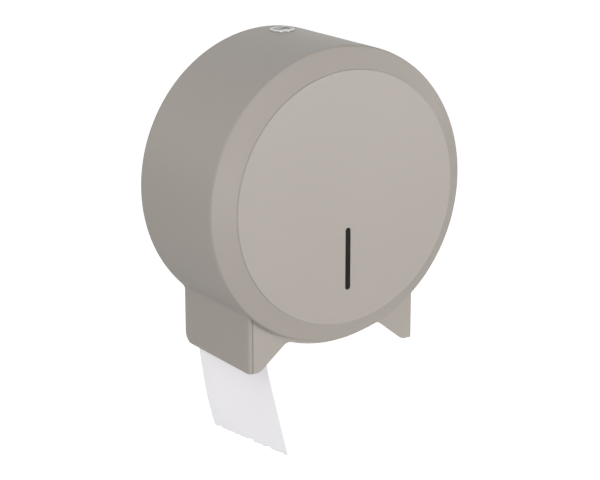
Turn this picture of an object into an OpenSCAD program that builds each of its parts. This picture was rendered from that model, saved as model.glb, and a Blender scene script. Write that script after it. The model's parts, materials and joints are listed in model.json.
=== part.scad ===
// Wall dispenser for one jumbo toilet roll: a drum-shaped steel cover, hinged at its foot, closes
// over a back plate that carries the spindle for the roll. A cam lock at the top holds it shut.
// The wall is the plane y = 0 and the front faces -Y. +Z is up and +X is to a user's right.
// The origin is where the drum's axis meets the wall.

/* [Drum] */
// Outer radius of the drum
drum_r = 120; // [116:1:126]
// Distance from the wall to the drum's shoulder
drum_depth = 106; // [104:1:112]
// Radius of the flat disc on the front
disc_r = 103; // [98:1:106]
// How far the front disc stands before the shoulder
bevel_depth = 12; // [9:1:14]
// Height of the small step round the front disc
disc_step = 1; // [0.8:0.1:1.4]
// Rounding of the shoulder
shoulder_r = 3; // [2:0.5:4]
// Thickness of the pressed steel of the cover
sheet_t = 1.2; // [0.8:0.1:1.5]
// Gap between the cover's rear edge and the wall
rear_gap = 0.5; // [0.3:0.1:1]
// Straight edge of the front pressing behind its bend, where the side band is welded on
seam_land = 1; // [0.5:0.5:4]

/* [Skirt and legs] */
// Width over the two side plates of the skirt
skirt_w = 162; // [156:1:168]
// Distance from the drum's axis down to the legs' feet
skirt_drop = 136.5; // [134:0.5:142]
// How far the skirt's front stands behind the drum's shoulder
skirt_setback = 8; // [6:0.5:8]
// Hollow rounding where a side plate runs into the drum
side_fillet_r = 8; // [5:1:12]
// Outer radius of the bend between a side plate and the skirt's front
bend_r = 3; // [2:0.5:4]
// Rounding of the side plates' rear lower corners, about the hinge
heel_r = 9; // [8:0.5:11]
// Width of a leg's foot, up to the line of its slanted edge
foot_w = 10.4; // [9:0.2:14]
// Slope of the legs' inner edges
leg_slope = 38.7; // [36:0.5:42]
// Rounding of the legs' feet
toe_r = 8; // [5:1:10]
// Hollow rounding between a leg and the edge above the paper exit
crotch_r = 8; // [5:1:12]
// How far the edge above the paper exit stands below the drum
exit_lip = 4; // [3:0.5:6]

/* [Level slot] */
// Width of the slot that shows how full the roll is
slot_w = 5; // [4:0.5:7]
// Length of the slot
slot_len = 51.5; // [40:0.5:60]
// Distance from the drum's axis down to the slot's top
slot_top = 23.5; // [20:0.5:30]
// Thickness of the window strip's base
window_t = 1.5; // [1:0.1:2]
// Margin of the window strip round the slot
window_margin = 4; // [3:0.5:6]
// Wall of the frame that holds the window strip
frame_wall = 3; // [2:0.5:4]
// Thickness of the frame behind the window strip
frame_t = 1.2; // [1:0.1:2]
// Length of the frame's ears, past the window strip
frame_ear = 9; // [8:0.5:11]
// Radius of the studs that hold the frame
window_stud_r = 1.5; // [1.2:0.1:1.8]
// Length of the studs that hold the frame
window_stud_len = 6; // [5:0.5:8]
// Width of the push nuts' rings on the studs
push_nut_wall = 2.2; // [1.8:0.1:2.6]
// Thickness of the push nuts
push_nut_t = 0.8; // [0.6:0.1:1.2]

/* [Back plate] */
// Thickness of the back plate
plate_t = 1.2; // [1:0.1:1.5]
// Radial gap between the back plate's rim and the drum
plate_gap = 2.3; // [2:0.1:3]
// Depth of the back plate's folded rim
rim_depth = 6; // [5:0.5:7]
// Outer radius of the fold behind the rim
rim_bend_r = 2; // [1.6:0.2:3]
// Spacing of the wall screws from left to right
screw_spacing_x = 100; // [90:1:110]
// Spacing of the wall screws from top to bottom
screw_spacing_z = 164; // [156:1:170]
// Width of the wall screws' slots
screw_slot_w = 5.5; // [4.5:0.5:6]
// Length of the wall screws' slots
screw_slot_len = 11; // [8:0.5:13]
// Radius of the round back of a stiffening bead
bead_r = 4; // [3.4:0.2:5]
// How far a stiffening bead stands out of the plate
bead_h = 1.5; // [1:0.1:1.7]
// Distance of the side beads from the middle
side_bead_x = 62; // [56:1:68]
// Distance from the drum's axis down to the side beads' low ends
side_bead_low = 20; // [15:1:40]
// Distance from the drum's axis up to the side beads' high ends
side_bead_high = 46; // [30:1:50]
// Distance of the foot beads from the middle
foot_bead_x = 28; // [24:1:40]
// Height of the foot beads' low ends above the legs' feet
foot_bead_rise = 20.5; // [16:0.5:30]
// Distance from the drum's axis down to the foot beads' high ends
foot_bead_high = 44; // [36:1:60]

/* [Hinge] */
// Thickness of the hinge brackets
bracket_t = 1.5; // [1.2:0.1:2]
// Gap between a hinge bracket's ear and the side plate
ear_gap = 1.3; // [1.2:0.1:2]
// Margin between an ear's round end and the side plate's corner
ear_margin = 1.5; // [1:0.1:2.5]
// Width of a bracket's base on the back plate
bracket_w = 20; // [18:1:26]
// How far a bracket reaches above the hinge
bracket_rise = 20; // [18:1:26]
// Radius of the hinge studs
hinge_stud_r = 3; // [2.5:0.1:3.5]
// Length of the hinge studs
hinge_stud_len = 7; // [6.5:0.1:9]
// Radius of the weld collar at the root of a hinge stud
stud_collar_r = 5; // [4.2:0.2:6]
// Thickness of the weld collar
stud_collar_t = 0.9; // [0.6:0.1:1]
// Outer radius of the push-on hinge clips
clip_r = 6; // [5:0.2:7]
// Thickness of the push-on hinge clips
clip_t = 0.8; // [0.6:0.1:1.2]

/* [Tear strips] */
// Height of the tear strips, teeth included
strip_h = 12; // [9:0.5:16]
// Thickness of the tear strips
strip_t = 0.8; // [0.5:0.1:0.9]
// Distance from the wall to a tear strip's rear end
strip_rear = 21; // [20:1:30]
// Pitch of the teeth
tooth_pitch = 4; // [3:0.25:6]
// Height of the teeth
tooth_h = 2.6; // [1.5:0.1:3.5]
// How far the teeth stay above the side plates' lower edge
tooth_cover = 0.4; // [0.3:0.1:1]

/* [Roll] */
// Room between the roll and the drum's outside, for the lock and its strike
roll_room = 36; // [36:1:60]
// Width of the roll
roll_w = 92; // [85:1:92.4]
// Gap from the back plate's face to the roll
roll_gap = 2.8; // [2.5:0.1:3]
// Inner radius of the cardboard core
core_r = 30; // [28:0.5:34]
// Wall of the cardboard core
core_wall = 1.5; // [1:0.1:2]
// Thickness of the hanging sheet's plain solid
sheet_solid_t = 0.5; // [0.4:0.1:1]
// How far inside the left side plate the hanging sheet bends, if the roll is level with that plate
tail_gap = 5.5; // [2.5:0.5:18.5]
// Height above the legs' feet at which the sheet starts to curl back
tail_curl = 30; // [10:1:50]

/* [Spindle] */
// Radius of the roller that carries the core
roller_r = 20; // [17:0.5:22]
// Wall of the roller
roller_wall = 2.5; // [2:0.1:3]
// Radius of the fixed axle
axle_r = 6; // [5:0.5:6.5]
// Outer radius of the roller's bushes
bush_r = 8; // [7.5:0.1:9]
// Length of the bushes inside the roller
bush_len = 12; // [8:1:20]
// Wall of the roller's hub round a bush
hub_wall = 2; // [1.5:0.1:3]
// Thickness of the bushes' flanges
bush_flange_t = 1; // [0.8:0.1:1.2]
// How far the roller ends behind the roll's front
roller_short = 2.4; // [1:0.1:6]
// Number of webs inside the roller
web_count = 6; // [4:1:8]
// Thickness of the webs inside the roller
web_t = 1.8; // [1.2:0.1:2.5]
// Radius of the flange that holds the axle
flange_r = 19; // [18:0.5:19.5]
// Thickness of the flange
flange_t = 2; // [1.5:0.1:2.4]
// Height of the flange's hub above the back plate
flange_hub_h = 4; // [3.6:0.1:5]
// Radius of the flange's hub
flange_hub_r = 9; // [8:0.5:9.5]
// Pitch radius of the flange's rivets
flange_rivet_pcr = 14; // [13.5:0.5:15]
// Radius of the washer on the axle's end
washer_r = 11; // [9:0.5:12]
// Thickness of the washer on the axle's end
washer_t = 1.5; // [1:0.1:2]
// Radius of the screw in the axle's end
axle_screw_r = 3; // [2.5:0.1:3.5]

/* [Lock] */
// Distance from the wall to the lock's axis
lock_depth = 25; // [25:0.5:32]
// Radius of the lock's bright bezel
bezel_r = 10; // [9:0.5:11]
// How far the bezel stands above the drum
bezel_h = 1.4; // [1:0.1:2]
// Outer radius of the lock's threaded housing
housing_r = 8; // [7.5:0.1:8.4]
// Length of the housing below the drum's top
housing_len = 12; // [11:0.5:12]
// Radius of the lock's barrel
barrel_r = 6; // [5.5:0.1:6.4]
// Distance from the drum's top down to the cam
cam_drop = 13; // [13:0.5:15]
// Thickness of the cam
cam_t = 2; // [1.5:0.1:2.5]
// Width of the cam's arm
cam_w = 10; // [9.5:0.5:11]
// How much wider the cam is on each side round its square hole
cam_hub_margin = 1; // [0.5:0.1:1.5]
// Reach of the cam's arm from the lock's axis
cam_reach = 17; // [16:0.5:18]
// Side of the square that drives the cam
tang = 6.4; // [5.5:0.1:6.6]
// Radius of the cam's screw
cam_screw_r = 2; // [1.5:0.1:2.2]
// Width across the lock nut's corners, halved
nut_r = 11; // [10.5:0.1:11.5]
// Thickness of the lock nut
nut_t = 4; // [3:0.5:5]
// Thickness of the saddle washer at its crown
saddle_t = 2; // [1.6:0.1:2.4]
// Width of the keyhole
key_w = 1.6; // [1:0.1:2]
// Length of the keyhole
key_len = 7; // [5:0.5:8]
// Depth of the keyhole
key_deep = 6; // [4:0.5:6]

/* [Strike] */
// Width of the strike that the cam's arm turns behind
strike_w = 12; // [10:0.5:13]
// Thickness of the strike
strike_t = 1.5; // [1.2:0.1:2]
// Overlap of the cam's arm and the strike's lip when locked
strike_engage = 6; // [5:0.5:7]
// Gap between the locked arm and the strike's lip
strike_gap = 1; // [0.5:0.1:1.5]
// Gap between the cam and the strike's shelf
shelf_gap = 5; // [4:0.5:5]
// Width of the strike's base on the back plate
strike_base_w = 24; // [20:1:26]
// Height of the strike's base on the back plate
strike_base_h = 13.5; // [12:0.5:14]

/* [Rivets] */
// Radius of the rivets' shanks
rivet_r = 2; // [1.5:0.1:2.4]
// Radius of the rivets' heads
rivet_head_r = 3.5; // [3:0.1:4]
// Height of the rivets' heads
rivet_head_h = 1.2; // [0.8:0.1:1.4]
// How far the rivets' shanks end inside the wall's plane
shank_inset = 0.1; // [0.05:0.05:0.3]

/* [Hidden] */
$fn = 96;

// Colours
taupe = [0.68, 0.655, 0.62];
steel = [0.72, 0.72, 0.73];
bright = [0.86, 0.86, 0.88];
zinc = [0.62, 0.62, 0.6];
smoke = [0.1, 0.1, 0.11];
nylon = [0.9, 0.89, 0.85];
card = [0.66, 0.55, 0.42];
tissue = [0.95, 0.94, 0.94];

// Clearances
fit_gap = 0.05;         // radial running fit of a shaft in its bore
loose_gap = 0.1;        // radial gap of a fastener in its hole
seat_gap = 0.2;         // end play between a turning piece and what stops it
hang_gap = 0.3;         // gap of the hanging core over its roller, and of the sheet over the roll
slot_gap = 0.2;         // gap of the window's rib in its slot
past = 1;               // how far a cut runs past the face it opens
arc_over = 0.01;        // how far a corner's arc crosses the two edges that it joins
bend_fade = 4;          // angle by which the bend ends before the drum

// Cover
disc_depth = drum_depth + bevel_depth;
disc_in = disc_depth - sheet_t;
skirt_depth = drum_depth - skirt_setback;
seam_depth = skirt_depth - bend_r - seam_land;
skirt_x = skirt_w / 2;
skirt_in = skirt_x - sheet_t;
drum_in = drum_r - sheet_t;
bevel_angle = atan2(bevel_depth - disc_step, drum_r - disc_r);
disc_edge_r = 0.8 * disc_step;
exit_r = drum_r + exit_lip;
foot_x = skirt_x - foot_w;

// Hinge axis, parallel to X
hinge_y = -rear_gap - heel_r;
hinge_z = -skirt_drop + heel_r;
ear_x = skirt_in - ear_gap;
ear_r = heel_r - ear_margin;

// Level slot
slot_z = -slot_top - slot_len / 2;
window_w = slot_w + 2 * window_margin;
window_len = slot_len + 2 * window_margin;
frame_w = window_w + 2 * frame_wall;
frame_len = window_len + 2 * frame_ear;
window_stud_z = (window_len + frame_ear) / 2;
push_nut_r = window_stud_r + push_nut_wall;

// Back plate
plate_r = drum_in - plate_gap;

// Spindle and roll, as distances from the wall
roll_r = drum_r - roll_room;
spindle_z = core_r - roller_r - hang_gap;
roll_back = plate_t + roll_gap;
roll_front = roll_back + roll_w;
hub_face = plate_t + flange_hub_h;
roller_back = hub_face + seat_gap + bush_flange_t;
roller_front = roll_front - roller_short;
axle_front = roller_front + bush_flange_t + seat_gap;
hub_r = bush_r + hub_wall;
axle_screw_head_r = 1.9 * axle_screw_r;
axle_screw_head_h = 1.1 * axle_screw_r;
axle_screw_len = 4 * axle_screw_r;

// Lock
cam_top = drum_r - cam_drop;
cam_bottom = cam_top - cam_t;
cam_screw_head_r = 2 * cam_screw_r;
cam_screw_head_h = 1.2 * cam_screw_r;
cam_screw_len = 3.5 * cam_screw_r;
nut_top = drum_in - saddle_t;
barrel_recess = 0.3;
shelf_top = cam_bottom - shelf_gap;
strike_x = cam_reach - strike_engage;
lip_front = lock_depth + cam_w / 2 + strike_gap + strike_t;
strike_rivet_x = [strike_x + strike_base_w / 4, strike_x + strike_base_w * 3 / 4];
strike_rivet_z = shelf_top - (strike_base_h + strike_t) / 2;

// Raises a front view, drawn with x to the right and y up, from a plane at this distance from the wall
module on_wall(depth = 0) {
    translate([0, -depth, 0])
        rotate([90, 0, 0])
            children();
}

// Raises a side view, drawn with x as the frame's Y and y as its Z, towards +X from a plane at x
module across(x = 0) {
    translate([x, 0, 0])
        rotate([90, 0, 90])
            children();
}

// Makes the left one of a pair from the right one when side is -1
module on_side(side) {
    if (side < 0)
        mirror([1, 0, 0])
            children();
    else
        children();
}

// The same for a front view that is still flat
module flip_view(side) {
    if (side < 0)
        mirror([1, 0])
            children();
    else
        children();
}

module both_sides() {
    for (side = [-1, 1])
        on_side(side)
            children();
}

// A slot with round ends, centred, its longer size given first
module stadium(len, w, upright = true) {
    turn = upright ? 90 : 0;
    rotate(turn) {
        square([len - w, w], center = true);
        for (end = [-1, 1])
            translate([end * (len - w) / 2, 0])
                circle(w / 2);
    }
}

// Domed rivet: its head seats at this distance from the wall, its shank ends inside the wall's plane
module rivet(x, z, seat) {
    dome_r = (rivet_head_r * rivet_head_r + rivet_head_h * rivet_head_h) / (2 * rivet_head_h);
    translate([x, 0, z])
        on_wall() {
            translate([0, 0, shank_inset])
                cylinder(r = rivet_r, h = seat - shank_inset);
            intersection() {
                translate([0, 0, seat + rivet_head_h - dome_r])
                    sphere(dome_r);
                translate([0, 0, seat])
                    cylinder(r = rivet_head_r, h = rivet_head_h);
            }
        }
}

module rivet_hole(x, z, depth) {
    translate([x, 0, z])
        on_wall(-past)
            cylinder(r = rivet_r + loose_gap, h = depth + 2 * past);
}

// ---- Cover ----

// Hollow corner between a side plate and the drum, on the right: the rounding's centre
function side_fillet_at(inset) = let (
    r = side_fillet_r + inset,
    x = skirt_x - inset + r,
    reach = drum_r - inset + r
) [x, -sqrt(reach * reach - x * x)];

// Outline of the drum and skirt from the front, brought in by inset
module cover_outline(inset, foot) {
    wall_x = skirt_x - inset;
    wall_r = drum_r - inset;
    fillet_r = side_fillet_r + inset;
    centre = side_fillet_at(inset);
    touch = centre * wall_r / (wall_r + fillet_r);
    circle(wall_r, $fn = 240);
    translate([-wall_x, -foot])
        square([2 * wall_x, foot]);
    for (side = [-1, 1])
        flip_view(side)
            difference() {
                polygon([[wall_x, centre[1]], centre, touch, [wall_x - bend_r, touch[1]]]);
                translate(centre)
                    circle(fillet_r + arc_over);
            }
}

// The open space between the legs, from the front
module exit_outline() {
    apex = -skirt_drop + foot_x * tan(leg_slope);
    run = (skirt_drop + past) + apex;
    normal = [sin(leg_slope), cos(leg_slope)];
    edge = normal * [foot_x, -skirt_drop];
    crotch_off = edge - crotch_r;
    crotch_reach = exit_r + crotch_r;
    crotch_along = sqrt(crotch_reach * crotch_reach - crotch_off * crotch_off);
    crotch = crotch_off * normal + crotch_along * [normal[1], -normal[0]];
    crotch_on_leg = crotch + crotch_r * normal;
    crotch_on_lip = crotch * exit_r / crotch_reach;
    toe = [foot_x + toe_r * tan(leg_slope / 2), -skirt_drop + toe_r];
    toe_on_leg = toe - toe_r * normal;
    difference() {
        polygon([
            [-run / tan(leg_slope), -skirt_drop - past],
            [0, apex],
            [run / tan(leg_slope), -skirt_drop - past]
        ]);
        circle(exit_r, $fn = 240);
        for (side = [-1, 1])
            flip_view(side)
                difference() {
                    polygon([crotch_on_leg, crotch_on_lip + [crotch_r / 2, crotch_r], crotch_on_lip, crotch]);
                    translate(crotch)
                        circle(crotch_r + arc_over);
                }
    }
    for (side = [-1, 1])
        flip_view(side)
            difference() {
                polygon([
                    toe,
                    toe_on_leg,
                    [foot_x - past, -skirt_drop - past],
                    [toe[0], -skirt_drop - past]
                ]);
                translate(toe)
                    circle(toe_r + arc_over);
            }
}

// Section of the drum's front, from the axis outwards and from the wall forwards
module dish_section() {
    back = skirt_depth - sheet_t;
    shoulder_turn = 90 - bevel_angle;
    shoulder_cut = shoulder_r * tan(shoulder_turn / 2);
    slope = [-cos(bevel_angle), sin(bevel_angle)];
    in_shoulder = drum_depth - sheet_t * tan(shoulder_turn / 2);
    in_disc = drum_in - (disc_in - in_shoulder) / tan(bevel_angle);
    difference() {
        union() {
            polygon([
                [0, back],
                [drum_r, back],
                [drum_r, drum_depth - shoulder_cut],
                [drum_r, drum_depth] + shoulder_cut * slope,
                [disc_r, disc_depth - disc_step],
                [disc_r, disc_depth - disc_edge_r],
                [disc_r - disc_edge_r, disc_depth],
                [0, disc_depth]
            ]);
            translate([drum_r - shoulder_r, drum_depth - shoulder_cut])
                circle(shoulder_r);
            translate([disc_r - disc_edge_r, disc_depth - disc_edge_r])
                circle(disc_edge_r);
        }
        polygon([
            [0, back - past],
            [drum_in, back - past],
            [drum_in, in_shoulder],
            [in_disc, disc_in],
            [0, disc_in]
        ]);
    }
}

// Section of what the outer bend takes off, with x as the distance in from the side plate
module bend_cut() {
    difference() {
        translate([-past, skirt_depth - bend_r])
            square(bend_r + past);
        translate([bend_r, skirt_depth - bend_r])
            circle(bend_r);
    }
}

// Section of what the inner bend leaves in the corner
module bend_web() {
    inner_r = bend_r - sheet_t;
    difference() {
        translate([sheet_t, skirt_depth - bend_r])
            square(inner_r);
        translate([bend_r, skirt_depth - bend_r])
            circle(inner_r);
    }
}

// Carries a bend's section down the side plate and round the hollow corner above it
module along_bend() {
    centre = side_fillet_at(0);
    drop = skirt_drop + centre[1];
    turn = atan2(-centre[1], -centre[0]) + bend_fade;
    far = 3 * side_fillet_r;
    translate([skirt_x, 0, -skirt_drop - past])
        rotate([0, 0, 180])
            linear_extrude(drop + past)
                children();
    on_wall()
        intersection() {
            translate([centre[0], centre[1], 0])
                rotate_extrude()
                    translate([side_fillet_r, 0])
                        children();
            linear_extrude(disc_depth)
                polygon([
                    centre,
                    centre - [far, 0],
                    centre + far * [cos(180 - (180 - turn) / 2), sin(180 - (180 - turn) / 2)],
                    centre + far * [cos(turn), sin(turn)]
                ]);
        }
}

// The cover's side wall from the front
module wall_outline() {
    difference() {
        cover_outline(0, skirt_drop);
        cover_outline(sheet_t, skirt_drop + past);
    }
}

// Pressed front: the dished disc, the skirt's front with its legs and their bends, and a short
// edge all round, on which the side band is welded
module cover_front() {
    color(taupe)
        difference() {
            union() {
                difference() {
                    union() {
                        on_wall(seam_depth)
                            linear_extrude(skirt_depth - seam_depth)
                                wall_outline();
                        on_wall(skirt_depth - sheet_t)
                            linear_extrude(sheet_t)
                                difference() {
                                    cover_outline(0, skirt_drop);
                                    circle((drum_in + drum_r) / 2, $fn = 240);
                                    exit_outline();
                                }
                        both_sides()
                            intersection() {
                                along_bend()
                                    bend_web();
                                translate([0, -skirt_depth, -skirt_drop])
                                    cube([drum_r, skirt_depth, drum_r]);
                            }
                    }
                    both_sides()
                        along_bend()
                            bend_cut();
                }
                on_wall()
                    rotate_extrude($fn = 240)
                        dish_section();
            }
            translate([0, 0, slot_z])
                on_wall(disc_in - past)
                    linear_extrude(sheet_t + 2 * past)
                        stadium(slot_len, slot_w);
        }
}

// Rolled side band: the drum and the two side plates, rounded at the hinge
module cover_band() {
    heel_cut = heel_r + past;
    color(taupe)
        difference() {
            on_wall(rear_gap)
                linear_extrude(seam_depth - rear_gap)
                    wall_outline();
            across(-skirt_x - past)
                linear_extrude(skirt_w + 2 * past)
                    difference() {
                        translate([hinge_y, -skirt_drop - past])
                            square([heel_cut, heel_cut]);
                        translate([hinge_y, hinge_z])
                            circle(heel_r);
                    }
            translate([0, -lock_depth, cam_top])
                cylinder(r = housing_r + loose_gap, h = cam_drop + past);
        }
}

module hinge_stud(side) {
    color(zinc)
        on_side(side)
            translate([0, hinge_y, hinge_z]) {
                across(skirt_in - stud_collar_t)
                    cylinder(r = stud_collar_r, h = stud_collar_t);
                across(skirt_in - hinge_stud_len)
                    cylinder(r = hinge_stud_r, h = hinge_stud_len);
            }
}

module hinge_clips() {
    color(steel)
        both_sides()
            translate([0, hinge_y, hinge_z])
                across(ear_x - bracket_t - seat_gap - clip_t)
                    linear_extrude(clip_t)
                        difference() {
                            circle(clip_r);
                            circle(hinge_stud_r + loose_gap / 2);
                        }
}

// Serrated strip inside a side plate's lower edge, on which the sheet is torn
module tear_strip(side) {
    strip_len = seam_depth - strip_rear;
    tooth_count = floor(strip_len / tooth_pitch);
    tooth_step = strip_len / tooth_count;
    tip = -skirt_drop + tooth_cover;
    teeth = [
        for (i = [0 : tooth_count - 1], top = [0, 1])
            [-strip_rear - (i + top / 2) * tooth_step, tip + (top == 0 ? tooth_h : 0)]
    ];
    color(bright)
        on_side(side)
            across(skirt_in - strip_t)
                linear_extrude(strip_t)
                    polygon(concat(
                        [[-strip_rear, tip + strip_h]],
                        teeth,
                        [[-strip_rear - strip_len, tip + tooth_h], [-strip_rear - strip_len, tip + strip_h]]
                    ));
}

module level_window() {
    color(smoke)
        translate([0, 0, slot_z]) {
            on_wall(disc_in - window_t)
                linear_extrude(window_t)
                    stadium(window_len, window_w);
            on_wall(disc_in)
                linear_extrude(sheet_t - slot_gap)
                    stadium(slot_len - 2 * slot_gap, slot_w - 2 * slot_gap);
        }
}

module window_frame() {
    back = disc_in - window_t - frame_t;
    color(nylon)
        translate([0, 0, slot_z])
            difference() {
                on_wall(back)
                    linear_extrude(window_t + frame_t)
                        stadium(frame_len, frame_w);
                on_wall(disc_in - window_t)
                    linear_extrude(window_t + past)
                        stadium(window_len + 2 * slot_gap, window_w + 2 * slot_gap);
                on_wall(back - past)
                    linear_extrude(frame_t + 2 * past)
                        stadium(slot_len + window_margin, slot_w + window_margin);
                for (end = [-1, 1])
                    translate([0, 0, end * window_stud_z])
                        on_wall(back - past)
                            cylinder(r = window_stud_r + loose_gap, h = window_t + frame_t + 2 * past);
            }
}

module window_studs() {
    color(zinc)
        for (end = [-1, 1])
            translate([0, 0, slot_z + end * window_stud_z])
                on_wall(disc_in - window_stud_len)
                    cylinder(r = window_stud_r, h = window_stud_len);
}

module window_nuts() {
    color(steel)
        for (end = [-1, 1])
            translate([0, 0, slot_z + end * window_stud_z])
                on_wall(disc_in - window_t - frame_t - push_nut_t)
                    linear_extrude(push_nut_t)
                        difference() {
                            circle(push_nut_r);
                            circle(window_stud_r + loose_gap / 2);
                        }
}

// ---- Lock ----

module at_lock(z) {
    translate([0, -lock_depth, z])
        children();
}

module drum_solid(r) {
    on_wall(-past)
        cylinder(r = r, h = disc_depth + 2 * past, $fn = 240);
}

module lock_housing() {
    bezel_edge_r = 0.5 * bezel_h;
    bezel_root = drum_r - sqrt(drum_r * drum_r - bezel_r * bezel_r);
    color(bright)
        difference() {
            union() {
                difference() {
                    at_lock(drum_r - bezel_root)
                        rotate_extrude() {
                            square([bezel_r, bezel_root + bezel_h - bezel_edge_r]);
                            square([bezel_r - bezel_edge_r, bezel_root + bezel_h]);
                            translate([bezel_r - bezel_edge_r, bezel_root + bezel_h - bezel_edge_r])
                                circle(bezel_edge_r);
                        }
                    drum_solid(drum_r);
                }
                at_lock(drum_r - housing_len)
                    cylinder(r = housing_r, h = housing_len + bezel_h / 2);
            }
            at_lock(drum_r - housing_len - past)
                cylinder(r = barrel_r + fit_gap, h = housing_len + bezel_h + 2 * past);
        }
}

module lock_washer() {
    color(steel)
        intersection() {
            at_lock(nut_top)
                linear_extrude(saddle_t + past)
                    difference() {
                        circle(nut_r);
                        circle(housing_r + loose_gap);
                    }
            drum_solid(drum_in);
        }
}

module lock_nut() {
    color(zinc)
        at_lock(nut_top - nut_t)
            linear_extrude(nut_t)
                difference() {
                    circle(nut_r, $fn = 6);
                    circle(housing_r + fit_gap);
                }
}

module lock_barrel() {
    barrel_top = drum_r + bezel_h - barrel_recess;
    color(bright)
        difference() {
            union() {
                at_lock(cam_top)
                    cylinder(r = barrel_r, h = barrel_top - cam_top);
                at_lock(cam_bottom + cam_t / 2)
                    linear_extrude(cam_t)
                        square(tang, center = true);
            }
            at_lock(barrel_top - key_deep)
                linear_extrude(key_deep + past) {
                    square([key_len, key_w], center = true);
                    circle(key_w);
                }
            at_lock(cam_bottom)
                cylinder(r = cam_screw_r + fit_gap, h = cam_screw_len + past);
        }
}

module lock_cam() {
    color(zinc)
        at_lock(cam_bottom)
            linear_extrude(cam_t)
                difference() {
                    union() {
                        circle(cam_w / 2 + cam_hub_margin);
                        translate([-cam_w / 2, 0])
                            square([cam_w, cam_reach - cam_w / 2]);
                        translate([0, cam_reach - cam_w / 2])
                            circle(cam_w / 2);
                    }
                    square(tang + 2 * fit_gap, center = true);
                }
}

module cam_screw() {
    color(steel)
        difference() {
            union() {
                at_lock(cam_bottom - cam_screw_head_h)
                    cylinder(r = cam_screw_head_r, h = cam_screw_head_h);
                at_lock(cam_bottom - cam_screw_head_h / 2)
                    cylinder(r = cam_screw_r, h = cam_screw_head_h / 2 + cam_screw_len);
            }
            at_lock(cam_bottom - cam_screw_head_h - past)
                linear_extrude(past + cam_screw_head_h / 2) {
                    square([cam_screw_head_r, cam_screw_r / 2], center = true);
                    square([cam_screw_r / 2, cam_screw_head_r], center = true);
                }
        }
}

// Folded bracket on the back plate: a base that runs down, a shelf and an upturned lip
module lock_strike() {
    shelf_low = shelf_top - strike_t;
    lip_top = cam_top + cam_t;
    color(zinc)
        difference() {
            union() {
                translate([strike_x, 0, shelf_top - strike_base_h])
                    on_wall(plate_t)
                        linear_extrude(strike_t)
                            square([strike_base_w, strike_base_h]);
                across(strike_x)
                    linear_extrude(strike_w) {
                        translate([-lip_front, shelf_low])
                            square([lip_front - plate_t, strike_t]);
                        translate([-lip_front, shelf_low])
                            square([strike_t, lip_top - shelf_low]);
                    }
            }
            for (x = strike_rivet_x)
                rivet_hole(x, strike_rivet_z, plate_t + strike_t);
        }
}

module strike_rivets() {
    color(steel)
        for (x = strike_rivet_x)
            rivet(x, strike_rivet_z, plate_t + strike_t);
}

// ---- Back plate ----

module bead(x, low, high, r) {
    translate([x, 0, 0])
        on_wall(plate_t + bead_h - bead_r) {
            translate([0, low, 0])
                rotate([-90, 0, 0])
                    cylinder(r = r, h = high - low);
            for (z = [low, high])
                translate([0, z, 0])
                    sphere(r);
        }
}

module beads(r) {
    for (side = [-1, 1]) {
        bead(side * foot_bead_x, foot_bead_rise - skirt_drop, -foot_bead_high, r);
        bead(side * side_bead_x, -side_bead_low, side_bead_high, r);
    }
}

// Keeps a ring round the drum's axis, but not where the plate runs down between the side plates
module above_tongue() {
    half_w = skirt_x + plate_gap;
    on_wall()
        difference() {
            children();
            translate([-half_w, -drum_r - past, -2 * past])
                cube([2 * half_w, drum_r, rim_depth + 3 * past]);
        }
}

module back_plate() {
    color(zinc)
        difference() {
            union() {
                on_wall()
                    linear_extrude(plate_t) {
                        circle(plate_r, $fn = 240);
                        translate([-ear_x, hinge_z - ear_r])
                            square([2 * ear_x, -hinge_z + ear_r]);
                    }
                above_tongue()
                    rotate_extrude($fn = 240)
                        translate([plate_r - plate_t, 0])
                            square([plate_t, rim_depth]);
                intersection() {
                    beads(bead_r);
                    on_wall()
                        cylinder(r = 2 * drum_r, h = disc_depth);
                }
            }
            beads(bead_r - plate_t);
            above_tongue()
                rotate_extrude($fn = 240)
                    difference() {
                        translate([plate_r - rim_bend_r, -past])
                            square(rim_bend_r + past);
                        translate([plate_r - rim_bend_r, rim_bend_r])
                            circle(rim_bend_r);
                    }
            for (x = [-1, 1], z = [-1, 1])
                translate([x * screw_spacing_x / 2, 0, z * screw_spacing_z / 2])
                    on_wall(-past)
                        linear_extrude(plate_t + 2 * past)
                            stadium(screw_slot_len, screw_slot_w, upright = false);
            for (side = [-1, 1], z = bracket_rivet_z())
                rivet_hole(side * bracket_rivet_x(), z, plate_t);
            for (x = strike_rivet_x)
                rivet_hole(x, strike_rivet_z, plate_t);
            for (i = [0 : 2])
                rivet_hole(flange_rivet_at(i)[0], flange_rivet_at(i)[1], plate_t);
        }
}

function bracket_rivet_x() = ear_x - bracket_w / 2 - bracket_t;
function bracket_rivet_z() = [hinge_z, hinge_z + bracket_rise - 2 * rivet_head_r];

module hinge_bracket(side) {
    color(zinc)
        on_side(side)
            difference() {
                union() {
                    translate([ear_x - bracket_w, 0, hinge_z - ear_r])
                        on_wall(plate_t)
                            linear_extrude(bracket_t)
                                square([bracket_w, ear_r + bracket_rise]);
                    across(ear_x - bracket_t)
                        linear_extrude(bracket_t) {
                            translate([hinge_y, hinge_z])
                                circle(ear_r);
                            polygon([
                                [-plate_t, hinge_z - ear_r],
                                [hinge_y, hinge_z - ear_r],
                                [hinge_y, hinge_z + ear_r],
                                [-plate_t - bracket_t, hinge_z + bracket_rise],
                                [-plate_t, hinge_z + bracket_rise]
                            ]);
                        }
                }
                translate([0, hinge_y, hinge_z])
                    across(ear_x - bracket_t - past)
                        cylinder(r = hinge_stud_r + fit_gap, h = bracket_t + 2 * past);
                for (z = bracket_rivet_z())
                    rivet_hole(bracket_rivet_x(), z, plate_t + bracket_t);
            }
}

module bracket_rivets() {
    color(steel)
        for (side = [-1, 1], z = bracket_rivet_z())
            rivet(side * bracket_rivet_x(), z, plate_t + bracket_t);
}

// ---- Spindle ----

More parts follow.
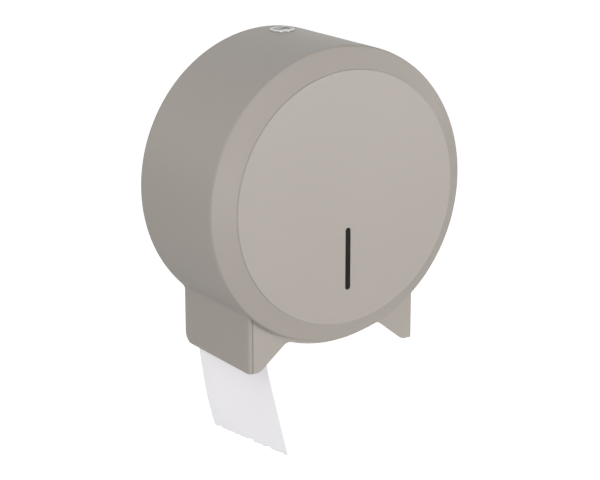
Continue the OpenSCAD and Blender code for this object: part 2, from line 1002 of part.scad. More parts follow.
module at_spindle(depth) {
    translate([0, 0, spindle_z])
        on_wall(depth)
            children();
}

function flange_rivet_at(i) = [
    flange_rivet_pcr * sin(120 * i),
    spindle_z + flange_rivet_pcr * cos(120 * i)
];

module spindle_flange() {
    color(zinc)
        difference() {
            union() {
                at_spindle(plate_t)
                    cylinder(r = flange_r, h = flange_t);
                at_spindle(plate_t)
                    cylinder(r = flange_hub_r, h = flange_hub_h);
            }
            at_spindle(plate_t - past)
                cylinder(r = axle_r + fit_gap, h = flange_hub_h + 2 * past);
            for (i = [0 : 2])
                rivet_hole(flange_rivet_at(i)[0], flange_rivet_at(i)[1], plate_t + flange_t);
        }
}

module flange_rivets() {
    color(steel)
        for (i = [0 : 2])
            rivet(flange_rivet_at(i)[0], flange_rivet_at(i)[1], plate_t + flange_t);
}

module spindle_axle() {
    color(steel)
        difference() {
            at_spindle(plate_t)
                cylinder(r = axle_r, h = axle_front - plate_t);
            at_spindle(axle_front - axle_screw_len - past)
                cylinder(r = axle_screw_r + fit_gap, h = axle_screw_len + 2 * past);
        }
}

module axle_washer() {
    color(steel)
        at_spindle(axle_front)
            linear_extrude(washer_t)
                difference() {
                    circle(washer_r);
                    circle(axle_screw_r + loose_gap);
                }
}

module axle_screw() {
    seat = axle_front + washer_t;
    socket_r = 0.6 * axle_screw_head_r;
    color(zinc)
        difference() {
            union() {
                at_spindle(seat)
                    cylinder(r = axle_screw_head_r, h = axle_screw_head_h);
                at_spindle(seat - axle_screw_len)
                    cylinder(r = axle_screw_r, h = axle_screw_len + axle_screw_head_h / 2);
            }
            at_spindle(seat + axle_screw_head_h / 2)
                cylinder(r = socket_r, h = axle_screw_head_h, $fn = 6);
        }
}

// Moulded roller: outer tube with softened ends, hub tube and webs between them
module core_roller() {
    len = roller_front - roller_back;
    soft = roller_wall / 2;
    color(nylon)
        difference() {
            union() {
                at_spindle(roller_back)
                    rotate_extrude() {
                        translate([roller_r - roller_wall, 0])
                            square([roller_wall - soft, len]);
                        translate([roller_r - soft, soft])
                            square([soft, len - 2 * soft]);
                        for (end = [soft, len - soft])
                            translate([roller_r - soft, end])
                                circle(soft);
                    }
                at_spindle(roller_back)
                    cylinder(r = hub_r, h = len);
                at_spindle(roller_back + roller_wall)
                    linear_extrude(len - 2 * roller_wall)
                        for (i = [0 : web_count - 1])
                            rotate(360 / web_count * i)
                                translate([0, -web_t / 2])
                                    square([roller_r - roller_wall / 2, web_t]);
            }
            at_spindle(roller_back - past)
                cylinder(r = bush_r + fit_gap, h = len + 2 * past);
        }
}

// Flanged bush: its flange lies against the roller's end, its sleeve reaches into the hub
module roller_bush(front) {
    flange_at = front ? roller_front : roller_back - bush_flange_t;
    sleeve_at = front ? roller_front - bush_len : roller_back;
    color(card)
        difference() {
            union() {
                at_spindle(flange_at)
                    cylinder(r = hub_r, h = bush_flange_t);
                at_spindle(sleeve_at)
                    cylinder(r = bush_r, h = bush_len);
            }
            at_spindle(roller_back - bush_flange_t - past)
                cylinder(r = axle_r + fit_gap, h = roller_front + past);
        }
}

// ---- Roll ----

module roll_core() {
    color(card)
        on_wall(roll_back)
            linear_extrude(roll_w)
                difference() {
                    circle(core_r + core_wall);
                    circle(core_r);
                }
}

module paper_roll() {
    color(tissue)
        on_wall(roll_back)
            linear_extrude(roll_w)
                difference() {
                    circle(roll_r, $fn = 180);
                    circle(core_r + core_wall + fit_gap);
                }
}

// Edges of the sheet that hangs from the roll's left side, as [x, z] on cubic curves: it leaves
// the roll on the line that touches it and runs to tail_bend, and curls to the right below the skirt
tail_corner = [-skirt_in, -skirt_drop];
tail_r = roll_r + hang_gap;
// A roll that stands out past the side plate moves the bend further in. A third of it holds the
// middle of the cubic in place, which is where the sheet passes the hinge stud.
tail_over = tail_r - skirt_in;
tail_bend = tail_corner + [tail_gap + tail_over / 3, tail_curl];
tail_leave = atan2(tail_bend[1], tail_bend[0]) - acos(tail_r / norm(tail_bend));
tail_start = tail_r * [cos(tail_leave), sin(tail_leave)];
tail_rear_curl = [8.3, -33.5];
tail_rear_end = [25.2, -82.5];
tail_front_curl = [30.8, -54.9];
tail_front_end = [37.8, -81.5];
tail_rear = [tail_start, tail_bend, tail_corner + tail_rear_curl, tail_corner + tail_rear_end];
tail_front = [tail_start, tail_bend, tail_corner + tail_front_curl, tail_corner + tail_front_end];
tail_steps = 16;

function cubic(p, t) =
    pow(1 - t, 3) * p[0] + 3 * pow(1 - t, 2) * t * p[1] + 3 * (1 - t) * t * t * p[2] + pow(t, 3) * p[3];

module paper_tail() {
    corners = [
        for (i = [0 : tail_steps])
            let (
                rear = cubic(tail_rear, i / tail_steps),
                front = cubic(tail_front, i / tail_steps)
            )
            each [
                [rear[0], -roll_back, rear[1]],
                [front[0], -roll_front, front[1]],
                [front[0] - sheet_solid_t, -roll_front, front[1]],
                [rear[0] - sheet_solid_t, -roll_back, rear[1]]
            ]
    ];
    last = 4 * tail_steps;
    color(tissue)
        polyhedron(
            points = corners,
            faces = concat(
                [[0, 1, 2, 3], [last + 3, last + 2, last + 1, last]],
                [
                    for (i = [0 : tail_steps - 1], k = [0 : 3])
                        let (a = 4 * i + k, b = 4 * i + (k + 1) % 4)
                        each [[a, a + 4, b + 4], [a, b + 4, b]]
                ]
            )
        );
}

cover_front();
cover_band();
hinge_stud(-1);  // hinge_stud_left
hinge_stud(1);  // hinge_stud_right
hinge_clips();
tear_strip(-1);  // tear_strip_left
tear_strip(1);  // tear_strip_right
level_window();
window_frame();
window_studs();
window_nuts();
lock_housing();
lock_washer();
lock_nut();
lock_barrel();
lock_cam();
cam_screw();
back_plate();
hinge_bracket(-1);  // hinge_bracket_left
hinge_bracket(1);  // hinge_bracket_right
bracket_rivets();
lock_strike();
strike_rivets();
spindle_flange();
flange_rivets();
spindle_axle();
axle_washer();
axle_screw();
core_roller();
roller_bush(false);  // roller_bush_rear
roller_bush(true);  // roller_bush_front
roll_core();
paper_roll();
paper_tail();
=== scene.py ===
# %% [markdown]
# # A steel dispenser for one large toilet roll
#
# This lesson dresses a measured model. The casing, hinge, lock and spindle already have their
# shapes and sizes; here they get their finishes, and the soft paper gets its form.
# The wall is the plane y = 0, the front faces -Y, +Z is up, and every length is in metres.

# %% Load the measured model
import json
import math

import bmesh
import bpy
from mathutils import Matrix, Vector, noise


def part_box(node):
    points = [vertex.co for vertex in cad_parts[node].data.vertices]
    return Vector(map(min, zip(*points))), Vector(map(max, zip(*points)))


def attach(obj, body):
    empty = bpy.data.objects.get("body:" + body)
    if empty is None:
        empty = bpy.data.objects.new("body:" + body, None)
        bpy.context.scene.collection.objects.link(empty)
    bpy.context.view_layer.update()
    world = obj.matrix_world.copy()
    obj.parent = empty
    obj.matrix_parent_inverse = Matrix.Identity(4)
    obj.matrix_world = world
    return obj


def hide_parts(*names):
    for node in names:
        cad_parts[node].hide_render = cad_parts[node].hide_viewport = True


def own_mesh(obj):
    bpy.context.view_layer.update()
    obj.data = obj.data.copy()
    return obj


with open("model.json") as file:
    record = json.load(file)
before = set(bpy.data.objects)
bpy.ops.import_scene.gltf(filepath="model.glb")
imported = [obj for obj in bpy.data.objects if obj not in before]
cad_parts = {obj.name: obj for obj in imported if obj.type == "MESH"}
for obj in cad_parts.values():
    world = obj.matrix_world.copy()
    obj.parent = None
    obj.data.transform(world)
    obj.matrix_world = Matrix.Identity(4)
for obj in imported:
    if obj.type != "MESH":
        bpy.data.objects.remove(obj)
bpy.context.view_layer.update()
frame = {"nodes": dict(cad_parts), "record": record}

nodes = frame["nodes"]

# %% [markdown]
# ## A way to write finishes
#
# A finish is a material on one Principled shader. What is the same all over is typed straight
# onto the shader's sockets. What varies is built from nodes, and it reads better as arithmetic
# than as a list of links, so a small class wraps a socket and lets Python's operators add the
# Math nodes.

# %% Sockets that can be added and multiplied
class Value:
    """A number, colour or shader that comes out of a node."""

    def __init__(self, owner, socket):
        self.owner = owner
        self.socket = socket

    def __add__(self, other):
        return self.owner.maths("ADD", self, other)

    def __sub__(self, other):
        return self.owner.maths("SUBTRACT", self, other)

    def __rsub__(self, other):
        return self.owner.maths("SUBTRACT", other, self)

    def __mul__(self, other):
        return self.owner.maths("MULTIPLY", self, other)

    def __truediv__(self, other):
        return self.owner.maths("DIVIDE", self, other)

    def __pow__(self, other):
        return self.owner.maths("POWER", self, other)

    def __abs__(self):
        return self.owner.maths("ABSOLUTE", self)

    __radd__ = __add__
    __rmul__ = __mul__


def distance(across, up):
    """The distance from an axis, by the two coordinates across that axis."""
    return (across * across + up * up) ** 0.5


print("a value takes + - * / ** and abs, and a number may come first in + - and *")

# %% [markdown]
# Every other node comes from one method. It takes the node's type, its settings, and the values
# or links of its sockets, so a whole node is one line. The world's tree uses it as well as the
# materials do.

# %% One method for every node
class Nodes:
    """A node tree, and the ways to add nodes to it."""

    def __init__(self, tree):
        self.tree = tree

    def node(self, kind, settings=None, values=None, output=0):
        made = self.tree.nodes.new(kind)
        for key, value in (settings or {}).items():
            setattr(made, key, value)
        for key, value in (values or {}).items():
            if isinstance(value, Value):
                self.tree.links.new(value.socket, made.inputs[key])
            else:
                made.inputs[key].default_value = value
        return Value(self, made.outputs[output])

    def maths(self, operation, *values):
        return self.node("ShaderNodeMath", {"operation": operation}, dict(enumerate(values)))

    def ray(self, kind):
        """1 for the rays of this kind, such as the camera's, and 0 for all others."""
        return self.node("ShaderNodeLightPath", output=kind)

    def mix_shaders(self, factor, first, second):
        return self.node("ShaderNodeMixShader", values={0: factor, 1: first, 2: second})

    def surface(self, shader, output):
        """Makes a shader the one that the tree's output node shows."""
        self.tree.links.new(shader.socket, self.tree.nodes[output].inputs["Surface"])


print("a tree of nodes can", [name for name in vars(Nodes) if not name.startswith("_")])

# %% [markdown]
# A finish also needs places to read its patterns from. Object coordinates are the model's own
# metres, because no piece is moved or scaled, so a noise with a scale of 1000 has grains about
# 1 mm wide.

# %% A material with its usual patterns
class Finish(Nodes):
    """A material with one Principled shader, and the nodes that feed it."""

    def __init__(self, name, **constants):
        self.name = name
        self.material = bpy.data.materials.new(name)
        self.material.use_nodes = True
        super().__init__(self.material.node_tree)
        self.shader = self.tree.nodes["Principled BSDF"]
        for socket, value in constants.items():
            self.shader.inputs[socket.replace("_", " ")].default_value = value
        self.place = self.node("ShaderNodeTexCoord", output="Object")

    def axis(self, letter):
        """One coordinate of the place."""
        return self.node("ShaderNodeSeparateXYZ", values={"Vector": self.place}, output=letter)

    def scaled(self, place, scale):
        """A place with its axes scaled, for grain that runs one way."""
        return self.node("ShaderNodeMapping", values={"Vector": place, "Scale": scale})

    def noise(self, scale, detail=2.0, at=None):
        values = {"Vector": at or self.place, "Scale": scale, "Detail": detail}
        return self.node("ShaderNodeTexNoise", values=values)

    def rings(self, radius, scale, detail):
        """Noise that changes with the radius alone."""
        values = {"W": radius, "Scale": scale, "Detail": detail}
        return self.node("ShaderNodeTexNoise", {"noise_dimensions": "1D"}, values)

    def between(self, value, low, high):
        """Brings low..high of a value to 0..1 and cuts off the rest."""
        values = {"Value": value, "From Min": low, "From Max": high}
        return self.node("ShaderNodeMapRange", values=values)

    def mix(self, factor, first, second):
        values = {0: factor, 6: first, 7: second}
        return self.node("ShaderNodeMix", {"data_type": "RGBA"}, values, output=2)

    def feed(self, **links):
        """Links what varies to the shader's sockets."""
        for socket, value in links.items():
            self.tree.links.new(value.socket, self.shader.inputs[socket.replace("_", " ")])

    def rough_by(self, height, distance):
        """Raises the surface by a height of 0..1 times a distance."""
        values = {"Height": height, "Distance": distance}
        self.feed(Normal=self.node("ShaderNodeBump", values=values))


print("a finish can", [name for name in vars(Finish) if not name.startswith("_")])

# %% [markdown]
# Colours are easier to choose as the 0 to 255 that a screen shows, but shaders reckon in linear
# light, so one function turns the first into the second. Another files each finish under the
# name that the model's record has for it. It doesn't ask the material for its name, because
# Blender adds a number to a name that the loaded model already uses.

# %% Colours, and a file of finishes
def colour(red, green, blue):
    """A colour given as the 0..255 that a screen shows, in the linear values of shaders."""
    def linear(channel):
        share = channel / 255
        return share / 12.92 if share <= 0.04045 else ((share + 0.055) / 1.055) ** 2.4
    return (linear(red), linear(green), linear(blue), 1.0)


def keep(finish, name=None):
    """Files a finish under its own name or another one."""
    finishes[name or finish.name] = finish.material
    print(finish.name, "takes", len(finish.tree.nodes), "nodes")


finishes = {}
white = (1, 1, 1, 1)
print("middle grey on a screen is", round(colour(128, 128, 128)[0], 3), "in linear light")

# %% [markdown]
# ## The camera
#
# The camera looks down on the casing a little and from its left, through a long lens, so that
# the drum's depth shows but its face stays nearly round. Its aim is a little off the origin,
# which sets the casing in the frame without any lens shift.

# %% Place and aim the camera
def direction(azimuth, elevation):
    """The unit vector towards a viewer at these angles in degrees, with 0 in front."""
    turn, rise = math.radians(azimuth), math.radians(elevation)
    across, up = math.cos(rise), math.sin(rise)
    return Vector((math.sin(turn) * across, -math.cos(turn) * across, up))


camera_distance = 1.54302
camera_from = direction(-33.157, 14.341)
camera_aim = -direction(-34.245, 16.576)

camera_data = bpy.data.cameras.new("camera")
camera_data.lens = 110.64
camera_data.sensor_width = 36.0
camera = bpy.data.objects.new("camera", camera_data)
camera.location = camera_distance * camera_from
camera.rotation_euler = camera_aim.to_track_quat("-Z", "Y").to_euler()
scene = bpy.context.scene
scene.collection.objects.link(camera)
scene.camera = camera
scene.view_settings.view_transform = "Standard"
print("the camera stands", round(camera.location.length, 3), "m from the origin")

# %% [markdown]
# ## Floor
#
# The casing hangs on a wall that isn't shown. Below it lies a plain white floor that reaches
# past the view on every side. To the camera the floor and the world are white; the floor's own
# part of the picture is its diffuse shade plus an even glow, so a soft shadow stays on it. Its
# underside is clear to the camera, so that the paper exit can be looked at from below.

# %% The floor's finish
floor_finish = Finish("floor", Base_Color=(0.86, 0.86, 0.86, 1), Roughness=0.7,
                      Specular_IOR_Level=0.2)
to_camera = floor_finish.ray("Is Camera Ray")
from_below = floor_finish.node("ShaderNodeNewGeometry", output="Backfacing")
glow = floor_finish.node("ShaderNodeEmission", values={"Color": white, "Strength": 0.75})
clear = floor_finish.node("ShaderNodeBsdfTransparent")
lit = Value(floor_finish, floor_finish.shader.outputs[0])
brightened = floor_finish.node("ShaderNodeAddShader", values={0: lit, 1: glow})
top_side = floor_finish.mix_shaders(to_camera, lit, brightened)
both_sides = floor_finish.mix_shaders(from_below * to_camera, top_side, clear)
floor_finish.surface(both_sides, "Material Output")
print("the floor's finish takes", len(floor_finish.tree.nodes), "nodes")

# %% [markdown]
# Every new piece starts as an empty bmesh, which a function fills. The object stays at the
# origin, unturned and unscaled, with its place in its mesh, because the finishes read object
# coordinates. The floor is one grid.

# %% Lay the floor
def add_object(name, fill, material):
    """Runs a function that fills a bmesh and links the result as a new object."""
    form = bmesh.new()
    fill(form)
    mesh = bpy.data.meshes.new(name)
    form.to_mesh(mesh)
    form.free()
    mesh.materials.append(material)
    made = bpy.data.objects.new(name, mesh)
    scene.collection.objects.link(made)
    print(name, "has", len(mesh.polygons), "faces")
    return made


floor_z = -0.33
floor_reach = 12


def floor_form(form):
    bmesh.ops.create_grid(form, x_segments=4, y_segments=4, size=floor_reach)
    bmesh.ops.translate(form, verts=form.verts, vec=(0, 0, floor_z))


floor = add_object("floor", floor_form, floor_finish.material)

# %% [markdown]
# ## Light
#
# The light is soft studio light: a large pale world fills every side, and five wide lamps add
# to it. The world shows itself as white to the camera, in reflections and through clear things,
# and lights at less, so that the background is white while the casing isn't burnt out.

# %% The world
world = bpy.data.worlds.new("studio")
scene.world = world
world.use_nodes = True
sky = Nodes(world.node_tree)
world_light = 0.3
backdrop = sky.tree.nodes["Background"]
backdrop.inputs["Color"].default_value = white
backdrop.inputs["Strength"].default_value = world_light
dim = Value(sky, backdrop.outputs[0])
bright = sky.node("ShaderNodeBackground", values={"Color": white})
shows_white = sky.ray("Is Camera Ray")
for kind in ("Is Glossy Ray", "Is Transmission Ray"):
    shows_white = sky.maths("MAXIMUM", shows_white, sky.ray(kind))
sky.surface(sky.mix_shaders(shows_white, dim, bright), "World Output")
print("the world lights at", world_light, "and shows itself at 1")

# %% [markdown]
# The key lamp stands low on the right, where the flat disc mirrors it towards the camera and the
# tilted ring round it doesn't, so that the two part clearly. The front lamp does the same for
# the ring's left side. Weak lamps on the left and above keep the drum's side from going dark.

# %% The lamps
lamp_distance = 2.4


def lamp(name, azimuth, elevation, size, watts):
    """A round lamp of this size that faces the origin from these angles in degrees."""
    data = bpy.data.lights.new(name, "AREA")
    data.shape = "DISK"
    data.size = size
    data.energy = watts
    made = bpy.data.objects.new(name, data)
    made.location = lamp_distance * direction(azimuth, elevation)
    made.rotation_euler = direction(azimuth, elevation).to_track_quat("Z", "Y").to_euler()
    scene.collection.objects.link(made)
    print(name, "gives", watts, "W over", size, "m")


lamp("key_lamp", 27, -6, size=1.1, watts=31)
lamp("front_lamp", -37, -14, size=1.6, watts=34)
lamp("left_lamp", -105, 25, size=1.6, watts=6.5)
lamp("upper_lamp", -60, 45, size=1.6, watts=6)
lamp("top_lamp", 0, 80, size=1.6, watts=2)

# %% [markdown]
# ## The powder coat
#
# The casing is sprayed with dry powder that melts in an oven. Melted powder never flows quite
# flat: it has a fine orange-peel grain, finer than a millimetre. The coat is half matt, and its
# roughness shifts a little from place to place. On the left leg's front a fine crease runs down
# beside the bend. It is about a millimetre wide, so a mask on the coordinates draws it: the bump
# gives its fold, and a darker colour along it is painted shade. The sheet steel needs no cut.

# %% Warm grey powder coat
coat = Finish("powder_coat", Specular_IOR_Level=0.35)
drift = coat.noise(9)
grain = coat.noise(1500)
speck = coat.between(coat.noise(2600, 1), 0.62, 0.72)
shade = coat.mix(drift, colour(184, 177, 169), colour(188, 181, 173))
plain = coat.mix(speck * 0.16, shade, colour(168, 162, 155))

crease_x, crease_top = -0.0775, -0.0885
leg_front = -0.0975
line = 1 - coat.between(abs(coat.axis("X") - crease_x), 0.0002, 0.0009)
on_front = coat.between(abs(coat.axis("Y") - leg_front), 0.002, 0.001)
on_leg = coat.between(coat.axis("Z"), crease_top, crease_top - 0.001)
# The crease mask gives the fold in the bump and a darker colour along it, which is painted
# shade.
crease_with_painted_shade = line * on_front * on_leg

coat.feed(Base_Color=coat.mix(crease_with_painted_shade * 0.5, plain, colour(112, 105, 97)))
coat.feed(Roughness=0.36 + 0.08 * grain + 0.04 * drift)
coat.rough_by(0.1 * grain + 0.9 * (1 - crease_with_painted_shade), 0.0004)
keep(coat)

# %% [markdown]
# ## Zinc plate
#
# The back plate, the hinge's brackets and studs, the lock's inner pieces and the spindle's
# flange are plated with zinc. Zinc freezes into flat crystals, the spangle, each a shade lighter
# or darker than the next. Cells of a Voronoi texture have the same patchwork: one random tone
# for each cell. A soft noise over them stands for handling and oxide, and keeps the cells from
# looking like tiles.

# %% Zinc-plated sheet steel
zinc = Finish("zinc_steel", Metallic=1.0)
cells = {"Vector": zinc.place, "Scale": 160.0}
crystals = zinc.node("ShaderNodeTexVoronoi", values=cells, output="Color")
tone = zinc.node("ShaderNodeSeparateColor", values={"Color": crystals}, output="Red")
cloud = zinc.noise(30, 3)
zinc.feed(Base_Color=zinc.mix(tone * 0.5 + cloud * 0.5,
                              colour(176, 178, 180), colour(203, 203, 201)))
zinc.feed(Roughness=0.44 + 0.1 * tone + 0.08 * cloud)
zinc.rough_by(zinc.noise(900), 0.00002)
keep(zinc)

# %% [markdown]
# ## Small fasteners
#
# The hinge's clips, the window's nuts and the lock's washer are spring steel, dark and with a
# bluish oil finish, and the rivets have a light plate. Such small pieces are tumbled together,
# so both show a fine mottle and no direction. They differ in scale, tone and gloss alone, and
# one function makes the two.

# %% Spring steel and rivet steel
def mottled_steel(name, scale, dark, light, smoothest):
    steel = Finish(name, Metallic=1.0)
    mottle = steel.noise(scale, 3)
    steel.feed(Base_Color=steel.mix(mottle, dark, light))
    steel.feed(Roughness=smoothest + 0.2 * mottle)
    steel.rough_by(mottle, 0.00003)
    keep(steel)


mottled_steel("spring_steel", 420, colour(112, 113, 118), colour(150, 149, 147), 0.3)
mottled_steel("rivet_steel", 700, colour(170, 170, 171), colour(202, 201, 199), 0.28)

# %% [markdown]
# ## Brushed stainless steel
#
# The axle, its washer and the tear strips are brushed: fine scratches all run one way, from the
# wall to the front. A noise whose place is scaled far less along Y gives them. It drives colour,
# roughness and height together, because the noise is what the brush left in the steel.

# %% Stainless steel with a brushed grain
brushed = Finish("stainless", Metallic=1.0)
scratch = brushed.noise(1.0, 3, at=brushed.scaled(brushed.place, (900, 14, 900)))
brushed.feed(Base_Color=brushed.mix(scratch, colour(198, 199, 201), colour(222, 222, 222)))
brushed.feed(Roughness=0.22 + 0.16 * scratch)
brushed.rough_by(scratch, 0.00002)
keep(brushed)

# %% [markdown]
# ## The lock's chrome
#
# The lock's housing and barrel were turned on a lathe and plated. Turned faces mirror their
# surroundings as two bright and two dark fans round their centre; here the fans are painted
# reflection in the colour, set by the angle round the lock's axis, and rings about it give the
# tool's marks. The housing's rim is a painted highlight, a brighter colour in a ring.

# %% Turned and plated lock faces
lock_y = -0.025
chrome = Finish("lock_chrome", Metallic=1.0)
across, up = chrome.axis("X"), chrome.axis("Y") - lock_y
angle = chrome.maths("ARCTAN2", up, across)
radius = distance(across, up)
# Painted reflection: the face's colour fans between dark and bright round the lock's axis.
painted_reflection_fans = 0.5 - 0.5 * chrome.maths("COSINE", 2 * angle)
tool_marks = chrome.rings(radius, 2600.0, 1.0)
smear = chrome.noise(260, 3)
face = chrome.mix(painted_reflection_fans * 0.85 + smear * 0.15, colour(74, 74, 74), colour(176, 176, 173))
# Painted highlight: a brighter colour in a ring at the housing's rim.
painted_rim_highlight = chrome.between(radius, 0.0086, 0.009)
chrome.feed(Base_Color=chrome.mix(painted_rim_highlight, face, colour(198, 198, 195)))
chrome.feed(Roughness=0.12 + 0.08 * smear + 0.06 * tool_marks)
chrome.rough_by(tool_marks, 0.000006)
keep(chrome)

# %% [markdown]
# ## The level window
#
# The window behind the slot is a smoked clear strip: light that passes it is nearly all taken
# away, so the slot reads as dark. A little transmission under a very dark colour does that, and
# a haze in the roughness stands for dust and finger marks.

# %% Smoked plastic
smoked = Finish("smoked_plastic", Transmission_Weight=0.3, IOR=1.49, Specular_IOR_Level=0.12)
haze = smoked.noise(60)
smoked.feed(Base_Color=smoked.mix(haze, colour(30, 27, 24), colour(42, 39, 35)))
smoked.feed(Roughness=0.14 + 0.1 * haze)
keep(smoked)

# %% [markdown]
# ## Moulded plastics
#
# The window's frame, the core roller and its bushes are moulded. Moulded plastic copies the
# faint texture of its spark-eroded mould, and its colour clouds a little where the melt flowed.
# The three differ in colour and gloss alone, so one function makes them.

# %% Dark, white and grey mouldings
def moulded(name, dark, light, smoothest, dullest):
    plastic = Finish(name, Specular_IOR_Level=0.45)
    flow = plastic.noise(40, 3)
    grain = plastic.noise(1300)
    plastic.feed(Base_Color=plastic.mix(flow, dark, light))
    plastic.feed(Roughness=smoothest + (dullest - smoothest) * grain)
    plastic.rough_by(grain, 0.00003)
    keep(plastic)


moulded("dark_plastic", colour(38, 38, 40), colour(48, 48, 50), 0.45, 0.65)
moulded("roller_plastic", colour(222, 221, 214), colour(233, 232, 226), 0.35, 0.5)
moulded("bush_plastic", colour(96, 98, 101), colour(112, 114, 117), 0.35, 0.5)

# %% [markdown]
# ## Cardboard
#
# The core is wound from strips of grey-brown board, so a butt seam climbs round it as a helix.
# A place's angle round the axis plus its distance along the axis is constant along such a line.
# Ping-pong folds that sum, and its lowest part is the seam. The noise for the board's fibres is
# drawn out along the axis.

# %% The wound core
seam_climb = 0.062
board = Finish("cardboard", Roughness=0.88, Specular_IOR_Level=0.2)
fibre = board.noise(1.0, 3, at=board.scaled(board.place, (900, 220, 900)))
blotch = board.noise(55, 3)
turn = board.maths("ARCTAN2", board.axis("Z"), board.axis("X")) / math.tau
climb = turn + board.axis("Y") / seam_climb
beside_seam = board.between(board.maths("PINGPONG", climb, 0.5), 0.0, 0.012)
plain = board.mix(fibre * 0.6 + blotch * 0.4, colour(150, 132, 106), colour(184, 167, 140))
board.feed(Base_Color=board.mix(beside_seam, colour(96, 82, 64), plain))
board.rough_by(fibre * 0.4 + beside_seam * 0.6, 0.0002)
keep(board)

# %% [markdown]
# ## Tissue on the roll
#
# Tissue is matt and its loose fibres catch light at the edges: that is a low specular level and
# some sheen. A weak emission is a painted glow that makes it brighter than its light would. The
# roll's outside has fine crepe ridges across its run. Its two ends show the wound layers as
# rings about the axis, with a darker colour that is painted shade, for the light lost between
# the layers' edges. The surface's normal tells the ends from the outside.

# %% Tissue, wound
# Tissue whose weak emission is a painted glow.
def glowing_tissue(name, glow):
    return Finish(name, Specular_IOR_Level=0.1, Sheen_Weight=0.6, Sheen_Roughness=0.6,
                  Emission_Color=(0.96, 0.94, 1.0, 1), Emission_Strength=glow)


wound = glowing_tissue("roll_tissue", 0.2)
layers = wound.rings(distance(wound.axis("X"), wound.axis("Z")), 1900.0, 2.0)
crepe = wound.noise(1.0, at=wound.scaled(wound.place, (260, 700, 260)))
soft = wound.noise(24)
normal = wound.node("ShaderNodeNewGeometry", output="Normal")
facing = wound.node("ShaderNodeSeparateXYZ", values={"Vector": normal}, output="Y")
on_end = wound.between(abs(facing), 0.6, 0.9)
outside = wound.mix(crepe * 0.4 + soft * 0.6, colour(240, 238, 241), colour(248, 246, 248))
# The ends' darker colour is painted shade between the layers' edges.
ends = wound.mix(layers * 0.8 + soft * 0.2, colour(196, 194, 196), colour(218, 216, 218))
wound.feed(Base_Color=wound.mix(on_end, outside, ends))
wound.feed(Roughness=0.88 + 0.1 * soft)
wound.rough_by(on_end * layers + (1 - on_end) * crepe, 0.0002)
keep(wound, "tissue")

# %% [markdown]
# ## Tissue in the hanging sheet
#
# The sheet is the same paper, but it bends away from the axes, so its crepe follows the sheet's
# own UV map, which is in metres across and along the paper. Its painted glow is a little
# stronger than the roll's.

# %% Tissue, hanging
# The sheet's emission is a painted glow, stronger than the roll's.
hanging = glowing_tissue("sheet_tissue", 0.27)
run = hanging.node("ShaderNodeUVMap", {"uv_map": "sheet"})
crepe = hanging.noise(1.0, at=hanging.scaled(run, (160, 900, 1)))
soft = hanging.noise(18)
hanging.feed(Base_Color=hanging.mix(crepe * 0.4 + soft * 0.6,
                                    colour(243, 241, 244), colour(250, 248, 250)))
hanging.feed(Roughness=0.9 + 0.08 * soft)
hanging.rough_by(crepe, 0.00012)
print("sheet_tissue takes", len(hanging.tree.nodes), "nodes")

# %% [markdown]
# ## Finishes onto the measured pieces
#
# The record of the model names a finish for every piece, and the finishes were filed under those
# names. So one loop dresses every measured piece.

# %% Give every measured piece its finish
for part in frame["record"]["subparts"]:
    for holder in nodes[part["node"]].material_slots:
        holder.material = finishes[part["material_slot"]]
print("finished", len(nodes), "pieces with", len(finishes), "finishes")

# %% [markdown]
# ## The roll of tissue
#
# A wound roll is no clean cylinder: its layers end a little unevenly, and its corners are soft.
# Its section is drawn once, as a chain from the core out over one end, along the outside and
# back over the other end. A carved cylinder would do too, but a section that is spun round the
# drum's axis gives both ends, the corners and the outside as one closed skin.

# %% Draw the roll's section
roll_low, roll_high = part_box("paper_roll")
roll_radius = (roll_high.x - roll_low.x) / 2
core_gap = 0.0001
core_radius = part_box("roll_core")[1].x + core_gap
corner = 0.0012
unevenness = 0.00035
rings_on_end = 64
rows_outside = 8


def end_face(depth, inward):
    """Radius and depth from the core to the corner, with each layer a little off the next."""
    face = []
    for i in range(rings_on_end + 1):
        radius = core_radius + (roll_radius - corner - core_radius) * i / rings_on_end
        uneven = 0.5 + 0.5 * noise.noise((radius * 900, depth * 100, 0))
        face.append((radius, depth + inward * unevenness * uneven))
    return face


def soft_corner(depth, inward):
    turns = [math.radians(30), math.radians(60)]
    return [(roll_radius - corner + corner * math.sin(turn),
             depth + inward * corner * (1 - math.cos(turn))) for turn in turns]


def outside_rows():
    length = roll_high.y - roll_low.y - 2 * corner
    return [(roll_radius, roll_low.y + corner + length * i / rows_outside)
            for i in range(rows_outside + 1)]


section = (end_face(roll_low.y, 1) + soft_corner(roll_low.y, 1) + outside_rows()
           + soft_corner(roll_high.y, -1)[::-1] + end_face(roll_high.y, -1)[::-1])
print("the roll's section has", len(section), "points")

# %% [markdown]
# The chain is closed along the core and spun a full turn. The spin merges its last step with its
# first, and the normals are turned outwards, because a spin can leave them inside out.

# %% Spin the roll
def roll_form(form):
    chain = [form.verts.new((radius, depth, 0)) for radius, depth in section]
    edges = [form.edges.new(pair) for pair in zip(chain, chain[1:] + chain[:1])]
    bmesh.ops.spin(form, geom=chain + edges, axis=(0, 1, 0), cent=(0, 0, 0), angle=math.tau,
                   steps=180, use_merge=True)
    bmesh.ops.remove_doubles(form, verts=form.verts, dist=0.00001)
    bmesh.ops.recalc_face_normals(form, faces=form.faces)
    for face in form.faces:
        face.smooth = True


wound_roll = add_object("wound_roll", roll_form, finishes["tissue"])
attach(wound_roll, "roll")
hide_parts("paper_roll")
print("the roll is", round(2000 * roll_radius), "mm across")

# %% [markdown]
# ## The hanging sheet
#
# The sheet leaves the roll on its left side, hangs past the skirt's edge and curls to the
# right, more at the front than at the wall. Its two long edges are cubic curves, the same ones
# that the measured solid has. Both start on the roll and are drawn towards the same second
# point; after it each has two points of its own. A point here is an x and a z.

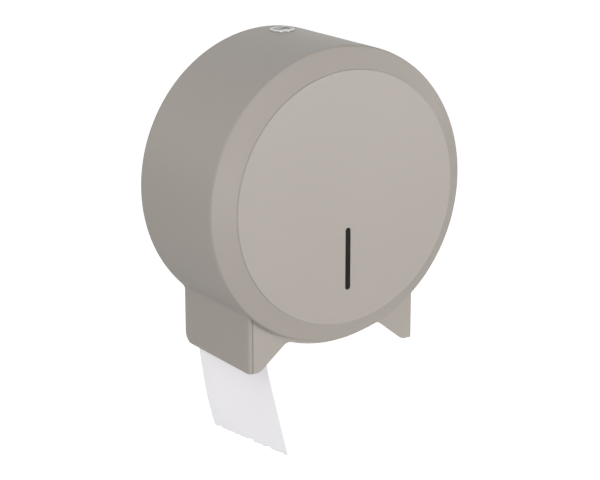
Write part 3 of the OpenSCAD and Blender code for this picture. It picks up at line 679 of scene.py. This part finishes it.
# %% The sheet's two edges
hang_gap = 0.0003
leg_corner = Vector((-0.0798, -0.1365))
bend = leg_corner + Vector((0.007, 0.030))
sheet_radius = roll_radius + hang_gap
leave = math.atan2(bend.y, bend.x) - math.acos(sheet_radius / bend.length)
start = sheet_radius * Vector((math.cos(leave), math.sin(leave)))
rear_low = [leg_corner + Vector((0.0083, -0.0335)), leg_corner + Vector((0.0252, -0.0825))]
front_low = [leg_corner + Vector((0.0308, -0.0549)), leg_corner + Vector((0.0378, -0.0815))]
rear_edge = [start, bend, *rear_low]
front_edge = [start, bend, *front_low]
print("the sheet leaves the roll at x", round(start.x, 4), "and z", round(start.y, 4))

# %% [markdown]
# A cubic moves fast where its points lie far apart, so even steps of its share would stretch the
# grid. A table of lengths along each edge lets the rows of the grid be set evenly instead, and
# gives the sheet's own length.

# %% Lengths along an edge
def cubic(points, share):
    back = 1 - share
    weights = (back ** 3, 3 * back * back * share, 3 * back * share * share, share ** 3)
    return sum((weight * point for weight, point in zip(weights, points)), Vector((0, 0)))


def lengths_along(points, steps=400):
    """The length from the start of a cubic to each of its steps."""
    lengths = [0.0]
    last = cubic(points, 0)
    for i in range(1, steps + 1):
        here = cubic(points, i / steps)
        lengths.append(lengths[-1] + (here - last).length)
        last = here
    return lengths


def at_length(points, lengths, length):
    """The point of a cubic at a length along it."""
    steps = len(lengths) - 1
    for i in range(steps):
        if lengths[i + 1] >= length:
            share = (length - lengths[i]) / (lengths[i + 1] - lengths[i])
            return cubic(points, (i + share) / steps)
    return cubic(points, 1)


rear_lengths, front_lengths = lengths_along(rear_edge), lengths_along(front_edge)
sheet_length = (rear_lengths[-1] + front_lengths[-1]) / 2
sheet_width = roll_high.y - roll_low.y
print("the sheet hangs", round(1000 * sheet_length), "mm and is",
      round(1000 * sheet_width), "mm wide")

# %% [markdown]
# A flat grid is laid between the two edges, row by row, and its last row is torn: it drops and
# rises in small uneven steps, where the paper tore from tooth to tooth. The grid's own x and y
# are kept as a UV map before it is bent, so that the crepe follows the paper. Solidify gives the
# sheet its thickness.

# %% Bend and tear the sheet
across_steps, along_steps = 92, 150
paper_thickness = 0.00025


def torn(across):
    """How far the torn edge stops short of the sheet's full length, in metres."""
    tooth = (across * 9 + 1.2 * noise.noise((across * 5, 4, 0))) % 1
    ragged = 0.5 + 0.5 * noise.noise((across * 7, 0, 0))
    fuzz = 0.5 + 0.5 * noise.noise((across * 60, 0, 3))
    return 0.0004 + 0.0018 * tooth + 0.0028 * ragged + 0.0006 * fuzz


def sheet_form(form):
    bmesh.ops.create_grid(form, x_segments=across_steps, y_segments=along_steps, size=0.5)
    run = form.loops.layers.uv.new("sheet")
    for face in form.faces:
        face.smooth = True
        for loop in face.loops:
            across, along = loop.vert.co.x + 0.5, loop.vert.co.y + 0.5
            loop[run].uv = (across * sheet_width, along * sheet_length)
    for vert in form.verts:
        across, along = vert.co.x + 0.5, vert.co.y + 0.5
        share = along * (1 - torn(across) / sheet_length * along ** 6)
        rear = at_length(rear_edge, rear_lengths, share * rear_lengths[-1])
        front = at_length(front_edge, front_lengths, share * front_lengths[-1])
        spot = rear.lerp(front, across)
        wave = 0.0007 * along * noise.noise((across * 2.2, along * 3.1, 7))
        vert.co = (spot.x + wave, roll_high.y - sheet_width * across, spot.y)


hanging_sheet = add_object("hanging_sheet", sheet_form, hanging.material)
thickness = hanging_sheet.modifiers.new("thickness", "SOLIDIFY")
thickness.thickness = paper_thickness
thickness.offset = 0.0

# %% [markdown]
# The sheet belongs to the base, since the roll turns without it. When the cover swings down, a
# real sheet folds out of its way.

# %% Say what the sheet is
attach(hanging_sheet, "base")
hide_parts("paper_tail")
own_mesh(hanging_sheet)

# %% [markdown]
